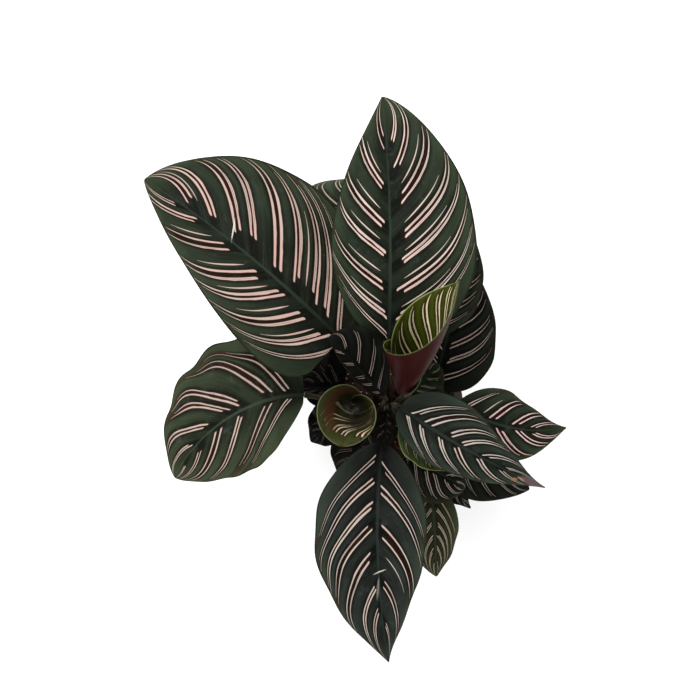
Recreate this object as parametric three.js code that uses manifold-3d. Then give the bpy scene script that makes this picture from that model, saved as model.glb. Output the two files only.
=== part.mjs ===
// A pinstripe calathea in a plain nursery pot. Millimetres, +Z up, standing on Z = 0, pot axis at X = Y = 0.
// Each leaf is one solid: a petiole rooted in the soil that runs on as the midrib of a thin, ribbed blade.
import * as THREE from "three";
import { mergeVertices } from "three/addons/utils/BufferGeometryUtils.js";
import Module from "manifold-3d";

const wasm = await Module();
wasm.setup();

// Pot: a tapered, thin-walled nursery pot with a rim band, a rolled lip and drain holes in its flat floor
const POT_HEIGHT = 90;
const POT_BASE_RADIUS = 35;
const POT_MOUTH_RADIUS = 46;
const POT_WALL = 1.5;
const RIM_BAND_HEIGHT = 13;
const RIM_BAND_OUT = 2.5;
const LIP_OUT = 4;
const LIP_HEIGHT = 3;
const LIP_CHAMFER = 0.6;
const DRAIN_HOLES = 6;
const DRAIN_HOLE_RADIUS = 4;
const DRAIN_CIRCLE_RADIUS = 24;
const DRAIN_HOLE_SIDES = 16;
const ROUND_SIDES = 48;

// Soil: fills the pot to a little under the rim, heaped in the middle, with a plain hole for each petiole
const SOIL_TOP = 80;
const SOIL_EDGE_DROP = 4;
const SOIL_HEAP_RADIUS = 26;
const FACE_GAP = 0.3;
const ROOT_DEPTH = 14;
const HOLE_CLEARANCE = 0.35;
const HOLE_SIDES = 10;

// Petiole: stout where it leaves the soil, slim above, thickened at the pulvinus where the blade turns away
const PETIOLE_BASE_RADIUS = 2.3;
const PETIOLE_RADIUS = 1.6;
const SHEATH_SHARE = 0.55;
const PETIOLE_STRAIGHT_SHARE = 0.45;
const PULVINUS_RADIUS = 1.9;
const PULVINUS_LENGTH = 8;
const PULVINUS_SHARE = 0.1;

// Blade and its midrib, which runs on from the petiole as a keel on the underside
const BLADE_HALF_THICKNESS = 0.35;
const RIB_TIP_RADIUS = 0.4;
const RIB_TAPER = 0.6;
const FOLD_SOFTNESS = 2;
const HANDLE_SHARE = 0.36;
const COLUMN_SPREAD = 1.5;
const RING_SPREAD = 1.6;

const DEGREE = Math.PI / 180;
const UP = new THREE.Vector3(0, 0, 1);

// Colours of the living plant and its pot
const leafGreen = new THREE.Color(0.05, 0.1, 0.07);
const youngGreen = new THREE.Color(0.16, 0.24, 0.06);
const soilBrown = new THREE.Color(0.06, 0.04, 0.03);
const potGrey = new THREE.Color(0.05, 0.05, 0.05);

// What a leaf has unless its own entry says otherwise: angles in degrees, curl radii and sizes in millimetres.
// rise and fall are the midrib's pitch at the blade's base and tip, bow turns it sideways, roll tilts the blade
// about it, fold lifts both halves, and a negative curl radius arches them down. left and right are the two
// halves, each with its greatest width, how slowly it widens from the base and how long it tapers to the tip.
const ORDINARY_LEAF = {
  rise: 20,
  fall: -25,
  bow: 0,
  roll: [0, 0],
  fold: 10,
  curl: [-120, -120],
  overlap: 0,
  wave: 1.2,
  waves: 3,
  steps: 10,
  columns: 6,
  young: false,
};

// root is where the petiole leaves the soil; joint and tip are the two ends of the blade
const LEAVES = [
  { name: "leaf_01", root: [-12, 5], joint: [-35, 21, 232], tip: [-158, 122, 235], left: [43.2, 0.22, 0.85],
    right: [58.5, 0.6, 0.75], rise: 22, fall: -22, bow: -3, curl: [-140, -140], wave: 2, steps: 14, columns: 8 },
  { name: "leaf_02", root: [-4, 6], joint: [-7, 18, 242], tip: [-11, 158, 285], left: [34, 0.7, 1.05],
    right: [50.5, 0.5, 0.76], rise: 35, fall: 0, bow: -4, roll: [-4, -4], curl: [-140, -140], steps: 14, columns: 8 },
  { name: "leaf_03", root: [-20, -8], joint: [-59, -7, 190], tip: [-144, -57, 162], left: [36, 0.7, 0.75],
    right: [44.5, 0.42, 0.85], rise: 12, fall: -35, bow: -30, wave: 2.5, waves: 4, steps: 14, columns: 8 },
  { name: "leaf_04", root: [-5, -22], joint: [-10, -38, 196], tip: [-5, -175, 150], left: [30, 0.8, 1.35],
    right: [38.5, 0.75, 1.15], rise: 12, fall: -42, bow: -9, steps: 12, columns: 8 },
  { name: "leaf_05", root: [4, 11], joint: [16, 27, 215], tip: [42, 96, 230], left: [22, 0.7, 0.9],
    right: [24, 0.7, 0.9], rise: 35, fall: -5 },
  { name: "leaf_06", root: [11, 4], joint: [24, 0, 172], tip: [46, 78, 195], left: [16, 0.8, 0.9],
    right: [31, 0.47, 0.82], rise: 35, fall: -10 },
  { name: "leaf_07", root: [17, -4], joint: [36, -16, 208], tip: [107, -28, 192], left: [21, 0.7, 1.25],
    right: [21.5, 0.85, 1.2], rise: 8, fall: -12, bow: -22 },
  { name: "leaf_08", root: [1, -9], joint: [0, -19, 222], tip: [91, -67, 205], left: [23.5, 0.65, 1.5],
    right: [18, 0.7, 1.4], rise: 16, fall: -25, bow: -9, steps: 12, columns: 8 },
  { name: "leaf_09", root: [13, -13], joint: [16, -32, 178], tip: [86, -65, 166], left: [20, 0.7, 0.9],
    right: [24, 0.7, 0.9], rise: 6, fall: -25 },
  { name: "leaf_10", root: [4, -21], joint: [8, -47, 192], tip: [43, -66, 183], left: [14, 0.6, 0.8],
    right: [20, 0.6, 0.8], rise: 10, fall: -40 },
  { name: "leaf_11", root: [11, -20], joint: [24, -51, 148], tip: [50, -75.5, 140], left: [8, 0.7, 1.2],
    right: [8, 0.7, 1.2], rise: 15, fall: -30 },
  { name: "leaf_12", root: [3, -28], joint: [23, -64, 165], tip: [27, -120, 138], left: [14.5, 0.6, 1],
    right: [18, 0.7, 0.9], rise: 5, fall: -40 },
  { name: "leaf_13", root: [-18, -15], joint: [-33, -16, 165], tip: [-56, -32, 150], left: [11.5, 0.7, 0.9],
    right: [15, 0.7, 0.9], rise: 10, fall: -35 },
  { name: "leaf_14", root: [-12, -20], joint: [-16, -26, 160], tip: [-37, -54, 140], left: [16.5, 0.7, 0.9],
    right: [16.5, 0.7, 0.9], rise: 10, fall: -40 },
  { name: "leaf_15", root: [-19, -1], joint: [-34, 2, 150], tip: [-63, 6, 142], left: [13, 0.7, 0.9],
    right: [30, 0.3, 0.7], rise: 15, fall: -20 },
  { name: "leaf_16", root: [-8, -3], joint: [-10, -12, 226], tip: [-43, 20, 248], left: [6, 0.7, 0.9],
    right: [22, 1, 0.6], roll: [-25, -10], rise: 40, fall: 5 },
  { name: "leaf_17", root: [-8, 13], joint: [-16, 32, 202], tip: [-31, 133, 200], left: [38.5, 0.6, 0.4],
    right: [33, 0.7, 0.9], rise: 35, fall: -35 },
  { name: "leaf_18", root: [9, -3], joint: [10, -6, 194], tip: [25, 10, 212], left: [12, 0.7, 0.9],
    right: [13, 0.7, 0.6], rise: 40, fall: 0 },
  { name: "leaf_19", root: [-5, -14], joint: [-7, -19, 203], tip: [-8, -42, 203], left: [5, 0.7, 0.7],
    right: [10, 0.7, 0.7], rise: 25, fall: -25 },
  { name: "young_leaf", root: [7, -10], joint: [3, -25, 205], tip: [36, -55, 198], left: [15, 0.7, 0.9],
    right: [15, 0.7, 0.9], rise: 15, fall: -25, young: true },
  { name: "furled_leaf_1", root: [2, -1], joint: [5, -9, 212], tip: [31, 40, 318], left: [38, 0.6, 1],
    right: [48, 0.6, 1.8], rise: 70, fall: 55, bow: -22, roll: [-80, -80], fold: 0, curl: [2.5, 32], overlap: 2.4,
    wave: 0, steps: 16, columns: 12, young: true },
  { name: "furled_leaf_2", root: [-13, -9], joint: [-28.6, -17.9, 212], tip: [-34.8, -48.6, 272.4],
    left: [22.8, 0.5, 0.65], right: [28.5, 0.5, 0.65], rise: 65, fall: 59, fold: 0, curl: [2, 26.7], overlap: 2.4,
    wave: 0, steps: 16, columns: 12, young: true },
];

const smooth = (x) => {
  const s = Math.min(1, Math.max(0, x));
  return s * s * (3 - 2 * s);
};
const mix = (a, b, x) => a + (b - a) * x;

// Width of one half of the blade at t along it: round at the base, drawn out at the tip
function halfWidth(t, [width, fullness, taper]) {
  const peak = fullness / (fullness + taper);
  const shape = (x) => x ** fullness * (1 - x) ** taper;
  return (width * shape(t)) / shape(peak);
}

function heading(from, to) {
  return Math.atan2(to.y - from.y, to.x - from.x);
}

function direction(angle, pitch) {
  return new THREE.Vector3(
    Math.cos(angle) * Math.cos(pitch),
    Math.sin(angle) * Math.cos(pitch),
    Math.sin(pitch),
  );
}

// The two curves that a leaf follows: its petiole from the soil to the blade, and its midrib to the tip
function spine(leaf) {
  const root = new THREE.Vector3(...leaf.root, SOIL_TOP);
  const joint = new THREE.Vector3(...leaf.joint);
  const tip = new THREE.Vector3(...leaf.tip);
  const course = heading(joint, tip);
  const reach = joint.distanceTo(tip) * HANDLE_SHARE;
  const start = direction(course + leaf.bow * DEGREE, leaf.rise * DEGREE);
  const end = direction(course - leaf.bow * DEGREE, leaf.fall * DEGREE);
  const midrib = new THREE.CubicBezierCurve3(
    joint,
    joint.clone().addScaledVector(start, reach),
    tip.clone().addScaledVector(end, -reach),
    tip,
  );
  const petiole = new THREE.CubicBezierCurve3(
    root,
    root.clone().addScaledVector(UP, root.distanceTo(joint) * PETIOLE_STRAIGHT_SHARE),
    joint.clone().addScaledVector(start, -PULVINUS_LENGTH),
    joint,
  );
  const side = new THREE.Vector3(Math.sin(course), -Math.cos(course), 0);
  return { petiole, midrib, side, root };
}

// One ring round the leaf: the upper face from its left margin to its right, then the lower face back
function ring(station, leaf) {
  const { centre, tangent, side, roll, blade, along, rib } = station;
  const across = side.clone().addScaledVector(tangent, -side.dot(tangent)).normalize();
  across.applyAxisAngle(tangent, roll);
  const up = across.clone().cross(tangent);
  const radius = mix(leaf.curl[0], leaf.curl[1], along);
  const upper = [];
  const lower = [];
  for (let i = 0; i <= leaf.columns; i++) {
    const even = (2 * i) / leaf.columns - 1;
    const round = Math.sin((even * Math.PI) / 2);
    const spread = Math.sign(even) * Math.abs(even) ** COLUMN_SPREAD;
    const v = mix(round, spread, blade);
    const half = v < 0 ? leaf.left : leaf.right;
    const distance = v * (rib + halfWidth(along, half) * blade);
    const turn = (blade * distance) / radius;
    const reach = radius + (leaf.overlap * turn) / (2 * Math.PI);
    const flatX = blade ? reach * Math.sin(turn) : distance;
    const flatZ = blade ? radius - reach * Math.cos(turn) : 0;
    const fold = (leaf.fold * DEGREE * blade * distance) / (Math.abs(distance) + FOLD_SOFTNESS);
    const swell = 4 * along * (1 - along) * v * v;
    const ripple = leaf.wave * blade * swell * Math.sin(2 * Math.PI * leaf.waves * along);
    const x = flatX * Math.cos(fold) - flatZ * Math.sin(fold);
    const z = flatX * Math.sin(fold) + flatZ * Math.cos(fold) + ripple;
    const lean = turn + fold;
    const stem = Math.sqrt(Math.max(0, rib * rib - distance * distance));
    const above = mix(Math.max(stem, BLADE_HALF_THICKNESS), BLADE_HALF_THICKNESS, blade);
    const below = Math.max(stem, BLADE_HALF_THICKNESS);
    const point = (offset) =>
      centre
        .clone()
        .addScaledVector(across, x - Math.sin(lean) * offset)
        .addScaledVector(up, z + Math.cos(lean) * offset);
    upper.push(point(above));
    lower.unshift(point(-below));
  }
  return [...upper, ...lower];
}

function stationsOf(leaf) {
  const { petiole, midrib, side, root } = spine(leaf);
  const roll = leaf.roll.map((angle) => angle * DEGREE);
  const petioleSteps = Math.max(4, Math.round(leaf.steps / 2));
  const stations = [
    { centre: root.clone().addScaledVector(UP, -ROOT_DEPTH), tangent: UP, roll: 0, rib: PETIOLE_BASE_RADIUS },
  ];
  for (let i = 0; i < petioleSteps; i++) {
    const s = 1 - (1 - i / petioleSteps) ** RING_SPREAD;
    const sheath = mix(PETIOLE_BASE_RADIUS, PETIOLE_RADIUS, smooth(s / SHEATH_SHARE));
    stations.push({
      centre: petiole.getPoint(s),
      tangent: petiole.getTangent(s),
      roll: roll[0] * smooth(s),
      rib: mix(sheath, PULVINUS_RADIUS, smooth((s - 1) / PULVINUS_SHARE + 1)),
    });
  }
  for (const station of stations) Object.assign(station, { blade: 0, along: 0, side });
  for (let i = 0; i <= leaf.steps; i++) {
    const t = (1 - Math.cos((Math.PI * i) / leaf.steps)) / 2;
    stations.push({
      centre: midrib.getPoint(t),
      tangent: midrib.getTangent(t),
      roll: mix(roll[0], roll[1], t),
      rib: mix(PULVINUS_RADIUS, RIB_TIP_RADIUS, t ** RIB_TAPER),
      blade: i === 0 ? 0 : 1,
      along: t,
      side,
    });
  }
  return stations;
}

// Skins the rings into one closed surface. Upper and lower face are split along the same diagonals.
function leafGeometry(leaf) {
  const rings = stationsOf(leaf).map((station) => ring(station, leaf));
  const around = rings[0].length;
  const positions = rings.flat().flatMap((p) => [p.x, p.y, p.z]);
  const faces = [];
  for (let i = 0; i + 1 < rings.length; i++) {
    for (let j = 0; j < around; j++) {
      const k = (j + 1) % around;
      const [a, b, c, d] = [i * around + j, i * around + k, (i + 1) * around + k, (i + 1) * around + j];
      if (j < around / 2) faces.push(a, b, c, a, c, d);
      else faces.push(a, b, d, b, c, d);
    }
  }
  const last = (rings.length - 1) * around;
  for (let j = 0; j < around / 2 - 1; j++) {
    const k = around - 1 - j;
    faces.push(j, k, j + 1, j + 1, k, k - 1);
    faces.push(last + j, last + j + 1, last + k, last + j + 1, last + k - 1, last + k);
  }
  const geometry = new THREE.BufferGeometry();
  geometry.setAttribute("position", new THREE.Float32BufferAttribute(positions, 3));
  geometry.setIndex(faces);
  return geometry;
}

function solidOf(geometry) {
  const bare = geometry.clone();
  bare.deleteAttribute("normal");
  bare.deleteAttribute("uv");
  const merged = mergeVertices(bare, 1e-4);
  return new wasm.Manifold(
    new wasm.Mesh({
      numProp: 3,
      vertProperties: merged.attributes.position.array,
      triVerts: new Uint32Array(merged.index.array),
    }),
  );
}

function geometryOf(solid) {
  const mesh = solid.getMesh();
  const geometry = new THREE.BufferGeometry();
  geometry.setAttribute("position", new THREE.BufferAttribute(mesh.vertProperties, 3));
  geometry.setIndex(new THREE.BufferAttribute(mesh.triVerts, 1));
  return geometry;
}

// A cylinder standing on +Z, with its centre at the given point
function postAt(x, y, z, radius, height, sides) {
  const post = new THREE.CylinderGeometry(radius, radius, height, sides);
  return post.rotateX(Math.PI / 2).translate(x, y, z);
}

// A profile of [radius, height] points turned about Z
function turned(profile) {
  const points = profile.map(([radius, height]) => new THREE.Vector2(radius, height));
  return new THREE.LatheGeometry(points, ROUND_SIDES).rotateX(Math.PI / 2);
}

function innerRadius(z) {
  return mix(POT_BASE_RADIUS, POT_MOUTH_RADIUS, z / POT_HEIGHT) - POT_WALL;
}

function potGeometry() {
  const bandFoot = POT_HEIGHT - RIM_BAND_HEIGHT;
  const lipFoot = POT_HEIGHT - LIP_HEIGHT;
  const bandFootRadius = innerRadius(bandFoot) + POT_WALL;
  let pot = solidOf(
    turned([
      [0, 0],
      [POT_BASE_RADIUS, 0],
      [bandFootRadius, bandFoot],
      [bandFootRadius + RIM_BAND_OUT, bandFoot + 1],
      [POT_MOUTH_RADIUS + RIM_BAND_OUT, lipFoot],
      [POT_MOUTH_RADIUS + LIP_OUT, lipFoot + LIP_CHAMFER],
      [POT_MOUTH_RADIUS + LIP_OUT, POT_HEIGHT - LIP_CHAMFER],
      [POT_MOUTH_RADIUS + LIP_OUT - LIP_CHAMFER, POT_HEIGHT],
      [innerRadius(POT_HEIGHT), POT_HEIGHT],
      [innerRadius(POT_WALL), POT_WALL],
      [0, POT_WALL],
    ]),
  );
  for (let i = 0; i < DRAIN_HOLES; i++) {
    const angle = ((i + 0.5) * 2 * Math.PI) / DRAIN_HOLES;
    const [x, y] = [DRAIN_CIRCLE_RADIUS * Math.cos(angle), DRAIN_CIRCLE_RADIUS * Math.sin(angle)];
    const hole = postAt(x, y, POT_WALL / 2, DRAIN_HOLE_RADIUS, POT_WALL * 3, DRAIN_HOLE_SIDES);
    pot = pot.subtract(solidOf(hole));
  }
  return geometryOf(pot);
}

function soilGeometry(leaves) {
  const foot = POT_WALL + FACE_GAP;
  const edge = SOIL_TOP - SOIL_EDGE_DROP;
  let soil = solidOf(
    turned([
      [0, foot],
      [innerRadius(foot) - FACE_GAP, foot],
      [innerRadius(edge) - FACE_GAP, edge],
      [SOIL_HEAP_RADIUS, SOIL_TOP - 1],
      [0, SOIL_TOP],
    ]),
  );
  const holeRadius = (PETIOLE_BASE_RADIUS + HOLE_CLEARANCE) / Math.cos(Math.PI / HOLE_SIDES);
  const holeHeight = (ROOT_DEPTH + HOLE_CLEARANCE) * 2;
  for (const leaf of leaves) {
    const hole = postAt(...leaf.root, SOIL_TOP, holeRadius, holeHeight, HOLE_SIDES);
    soil = soil.subtract(solidOf(hole));
  }
  return geometryOf(soil);
}

function named(name, geometry, color, roughness) {
  const mesh = new THREE.Mesh(geometry, new THREE.MeshStandardMaterial({ color, roughness, metalness: 0 }));
  mesh.name = name;
  return mesh;
}

const leaves = LEAVES.map((leaf) => ({ ...ORDINARY_LEAF, ...leaf }));
const plant = new THREE.Group();
plant.add(named("pot", potGeometry(), potGrey, 0.55));
plant.add(named("soil", soilGeometry(leaves), soilBrown, 0.95));
for (const leaf of leaves) {
  plant.add(named(leaf.name, leafGeometry(leaf), leaf.young ? youngGreen : leafGreen, 0.45));
}

export default plant;
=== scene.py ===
"""A pinstripe calathea in a plain nursery pot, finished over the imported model. Metres, +Z up."""
import math

import bpy
import numpy as np
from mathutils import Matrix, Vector


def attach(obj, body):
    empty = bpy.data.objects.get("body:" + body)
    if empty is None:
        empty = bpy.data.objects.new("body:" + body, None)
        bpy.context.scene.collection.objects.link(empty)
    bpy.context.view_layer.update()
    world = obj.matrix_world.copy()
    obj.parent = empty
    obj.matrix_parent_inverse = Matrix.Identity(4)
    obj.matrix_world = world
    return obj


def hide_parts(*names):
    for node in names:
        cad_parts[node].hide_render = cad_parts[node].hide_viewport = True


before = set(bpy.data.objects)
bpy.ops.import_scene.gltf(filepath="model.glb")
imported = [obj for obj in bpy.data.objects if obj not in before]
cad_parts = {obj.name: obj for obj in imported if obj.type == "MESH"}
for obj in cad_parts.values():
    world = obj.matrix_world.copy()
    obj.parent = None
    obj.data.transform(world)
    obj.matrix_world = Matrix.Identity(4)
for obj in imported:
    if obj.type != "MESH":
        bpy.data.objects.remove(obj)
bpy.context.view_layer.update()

# Camera: looks almost straight down on the foliage from a little in front of the plant, through a long lens.
VIEW_TARGET = Vector((-0.030, 0.017, 0.220))
VIEW_DISTANCE = 0.9
VIEW_ELEVATION = math.radians(80)
FIELD_WIDTH = 0.434

towards_camera = Vector((0, -math.cos(VIEW_ELEVATION), math.sin(VIEW_ELEVATION)))
lens = bpy.data.cameras.new("camera")
lens.lens = lens.sensor_width * VIEW_DISTANCE / FIELD_WIDTH
camera = bpy.data.objects.new("camera", lens)
camera.location = VIEW_TARGET + towards_camera * VIEW_DISTANCE
camera.rotation_euler = towards_camera.to_track_quat("Z", "Y").to_euler()
bpy.context.scene.collection.objects.link(camera)
bpy.context.scene.camera = camera

# Pot: a thin, tapered nursery pot of moulded black polypropylene. It has a rim band that stacks on the next
# pot, a rolled lip, and six drain holes in its flat floor.
POT_HEIGHT = 0.090
POT_BASE_RADIUS = 0.035
POT_MOUTH_RADIUS = 0.046
POT_WALL = 0.0015
RIM_BAND_HEIGHT = 0.013
RIM_BAND_OUT = 0.0025
RIM_BAND_SLOPE = 0.001
LIP_OUT = 0.004
LIP_HEIGHT = 0.003
LIP_CHAMFER = 0.0006
DRAIN_HOLES = 6
DRAIN_HOLE_RADIUS = 0.004
DRAIN_HOLE_SIDES = 32
DRAIN_CIRCLE_RADIUS = 0.024
POT_SIDES = 160
EDGE_BEVEL = 0.0003
BEVELLED_FROM = math.radians(20)
SHARP_FROM = math.radians(35)
POT_GREY = (38, 38, 39)
DUST_BROWN = (112, 98, 82)
SPLASH_HEIGHT = 0.05
MOULD_GRAIN_DEPTH = 0.00006
SHEEN = 0.03


def paint(red, green, blue):
    """A colour as the eye reads it, from 0 to 255, as the linear colour that a shader takes."""
    values = [x / 255 for x in (red, green, blue)]
    return [x / 12.92 if x <= 0.04045 else ((x + 0.055) / 1.055) ** 2.4 for x in values] + [1]


def operator(operation, turned_round=False):
    """A method that works out an arithmetic operator with a node."""
    if turned_round:
        return lambda self, other: self.work(operation, other, self)
    return lambda self, other: self.work(operation, self, other)


class Wire:
    """A node's socket. Arithmetic on wires adds the Math or Vector Math nodes that work it out."""

    __add__ = __radd__ = operator("ADD")
    __sub__ = operator("SUBTRACT")
    __rsub__ = operator("SUBTRACT", turned_round=True)
    __mul__ = __rmul__ = operator("MULTIPLY")
    __truediv__ = operator("DIVIDE")
    __rtruediv__ = operator("DIVIDE", turned_round=True)
    __pow__ = operator("POWER")
    __lt__ = operator("LESS_THAN")
    __gt__ = operator("GREATER_THAN")

    def __init__(self, tree, socket=None):
        self.tree = tree
        self.socket = socket

    def __abs__(self):
        return self.work("ABSOLUTE", self)

    def node(self, kind, settings=None, sockets=None, out=0):
        """Adds a node: its settings first, then the values or wires of its sockets, by name or number."""
        added = self.tree.nodes.new(kind)
        for name, value in (settings or {}).items():
            if name == "stops":
                fill_ramp(added.color_ramp, value)
            else:
                setattr(added, name, value)
        for name, value in (sockets or {}).items():
            if isinstance(value, Wire):
                self.tree.links.new(value.socket, added.inputs[name])
            else:
                added.inputs[name].default_value = value
        return Wire(self.tree, added.outputs[out])

    def work(self, operation, *values):
        """A Math node, or a Vector Math node where one of the values is a vector."""
        vectors = [isinstance(v, Wire) and v.socket.type == "VECTOR" for v in values]
        kind = "ShaderNodeVectorMath" if any(vectors) else "ShaderNodeMath"
        sockets = dict(enumerate(values))
        if operation == "MULTIPLY" and any(vectors) and not vectors[1]:
            operation = "SCALE"
            sockets = {0: values[0], "Scale": values[1]}
        out = 1 if operation in ("DOT_PRODUCT", "LENGTH") else 0
        return self.node(kind, {"operation": operation}, sockets, out)


def fill_ramp(ramp, stops):
    """Sets a ramp that steps from one colour to the next, from (place, colour) pairs."""
    ramp.interpolation = "CONSTANT"
    while len(ramp.elements) > 1:
        ramp.elements.remove(ramp.elements[-1])
    for i, (place, colour) in enumerate(stops):
        stop = ramp.elements[0] if i == 0 else ramp.elements.new(place)
        stop.position = place
        stop.color = colour


def ease(value, low, high):
    """0 below low, 1 above high, and a smooth step between them."""
    sockets = {"Value": value, "From Min": low, "From Max": high}
    return value.node("ShaderNodeMapRange", {"interpolation_type": "SMOOTHSTEP"}, sockets)


def blend(factor, first, second):
    """A colour that goes from the first to the second as the factor goes from 0 to 1."""
    return factor.node("ShaderNodeMix", {"data_type": "RGBA"}, {0: factor, 6: first, 7: second}, out=2)


def noise(place, scale, detail=2.0, roughness=0.5):
    sockets = {"Vector": place, "Scale": scale, "Detail": detail, "Roughness": roughness}
    return place.node("ShaderNodeTexNoise", {}, sockets)


def stored(wire, *names):
    """Wires for the piece's own attributes of those names."""
    return [wire.node("ShaderNodeAttribute", {"attribute_name": name}, out="Fac") for name in names]


def finish(name, roughness_value=0.5):
    """A new material: gives it, a bare wire in its tree, and its shader node."""
    material = bpy.data.materials.new(name)
    material.use_nodes = True
    shader = material.node_tree.nodes["Principled BSDF"]
    shader.inputs["Roughness"].default_value = roughness_value
    shader.inputs["Specular IOR Level"].default_value = SHEEN
    return material, Wire(material.node_tree), shader


def feed(shader, **links):
    """Links wires to the shader's sockets, each named with _ for a space."""
    for name, wire in links.items():
        wire.tree.links.new(wire.socket, shader.inputs[name.replace("_", " ")])


def relief(height, depth):
    """A bump whose height is 0 to 1 and whose depth is in metres."""
    return height.node("ShaderNodeBump", {}, {"Strength": 1.0, "Distance": depth, "Height": height})


def object_place(wire):
    """Where on the piece the shaded point is, in metres."""
    return wire.node("ShaderNodeTexCoord", out="Object")


def axis(vector, number):
    """One coordinate of a vector: 0, 1 or 2 for X, Y or Z."""
    return vector.node("ShaderNodeSeparateXYZ", {}, {0: vector}, out=number)


def pot_finish():
    """Black plastic with a fine moulded grain, dust, water splashes near the foot and scuffs."""
    material, wire, shader = finish("moulded plastic")
    place = object_place(wire)
    height = axis(place, 2)
    grain = noise(place, 2600, 3)
    scuffs = ease(noise(place, 420, 3), 0.66, 0.74)
    splash = ease(noise(place, 160, 5, 0.7), 0.56, 0.7) * (1 - ease(height, 0.0, SPLASH_HEIGHT))
    splash = splash + ease(height, POT_HEIGHT - 0.0015, POT_HEIGHT + 0.0005) * 0.4
    dust = ease(noise(place, 28, 4), 0.35, 0.75) * 0.10 + splash * 0.35 + scuffs * 0.12
    colour = blend(dust, paint(*POT_GREY), paint(*DUST_BROWN))
    rough = 0.46 + dust * 0.5 + (grain - 0.5) * 0.12
    feed(shader, Base_Color=colour, Roughness=rough, Normal=relief(grain + scuffs * 0.4, MOULD_GRAIN_DEPTH))
    return material


def new_shape(name, inputs):
    """A Geometry Nodes tree with the named inputs: gives the tree and a wire for each input."""
    tree = bpy.data.node_groups.new(name, "GeometryNodeTree")
    for label, kind in {"Geometry": "Geometry", **inputs}.items():
        tree.interface.new_socket(label, in_out="INPUT", socket_type="NodeSocket" + kind)
    tree.interface.new_socket("Geometry", in_out="OUTPUT", socket_type="NodeSocketGeometry")
    source = tree.nodes.new("NodeGroupInput")
    return tree, {socket.name: Wire(tree, socket) for socket in source.outputs if socket.name}


def close_shape(geometry, *materials):
    """Ends a tree: real meshes, then one material for all, or for each face that a wire picks."""
    last = geometry.node("GeometryNodeRealizeInstances", {}, {0: geometry})
    for material, picked in materials:
        last = last.node("GeometryNodeSetMaterial", {}, {0: last, "Selection": picked, "Material": material})
    output = last.tree.nodes.new("NodeGroupOutput")
    last.tree.links.new(last.socket, output.inputs[0])


def formed(piece, tree, values):
    """Runs a tree on a piece and keeps the result as its plain mesh."""
    modifier = piece.modifiers.new("form", "NODES")
    modifier.node_group = tree
    for item in tree.interface.items_tree:
        if item.in_out == "INPUT" and item.name in values:
            modifier[item.identifier] = values[item.name]
    graph = bpy.context.evaluated_depsgraph_get()
    mesh = bpy.data.meshes.new_from_object(piece.evaluated_get(graph), depsgraph=graph)
    piece.modifiers.clear()
    piece.data = mesh
    return piece


def placed(name, mesh):
    piece = bpy.data.objects.new(name, mesh)
    bpy.context.scene.collection.objects.link(piece)
    return piece


def turned(name, profile, sides):
    """A profile of (radius, height) points turned about Z, closed where it meets the axis."""
    places, rings, faces = [], [], []
    for radius, height in profile:
        angles = [2 * math.pi * i / sides for i in range(sides if radius > 0 else 1)]
        rings.append([len(places) + i for i in range(len(angles))])
        places += [(radius * math.cos(angle), radius * math.sin(angle), height) for angle in angles]
    for first, second in zip(rings, rings[1:]):
        for i in range(sides):
            there = (i + 1) % sides
            corners = [first[i % len(first)], first[there % len(first)]]
            corners += [second[there % len(second)], second[i % len(second)]]
            faces.append(list(dict.fromkeys(corners)))
    mesh = bpy.data.meshes.new(name)
    mesh.from_pydata(places, [], faces)
    return placed(name, mesh)


def drain_holes(material):
    """A tree that drills a ring of round holes through the pot's floor."""
    inputs = {"Holes": "Int", "Hole Radius": "Float", "Circle Radius": "Float", "Depth": "Float"}
    tree, given = new_shape("drain holes", inputs)
    pot = given["Geometry"]
    sizes = {"Vertices": given["Holes"], "Radius": given["Circle Radius"]}
    circle = pot.node("GeometryNodeMeshCircle", {}, sizes)
    half_step = (0, 0, math.pi / DRAIN_HOLES)
    circle = pot.node("GeometryNodeTransform", {}, {0: circle, "Rotation": half_step})
    sizes = {"Vertices": DRAIN_HOLE_SIDES, "Radius": given["Hole Radius"], "Depth": given["Depth"]}
    drill = pot.node("GeometryNodeMeshCylinder", {}, sizes)
    drills = pot.node("GeometryNodeInstanceOnPoints", {}, {"Points": circle, "Instance": drill})
    drills = pot.node("GeometryNodeRealizeInstances", {}, {0: drills})
    settings = {"operation": "DIFFERENCE", "solver": "EXACT"}
    cut = pot.node("GeometryNodeMeshBoolean", settings, {"Mesh 1": pot, "Mesh 2": drills})
    close_shape(cut, (material, True))
    return tree


def inner_radius(height):
    """The pot's radius inside its wall, at a height above the table."""
    share = height / POT_HEIGHT
    return POT_BASE_RADIUS + (POT_MOUTH_RADIUS - POT_BASE_RADIUS) * share - POT_WALL


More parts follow.
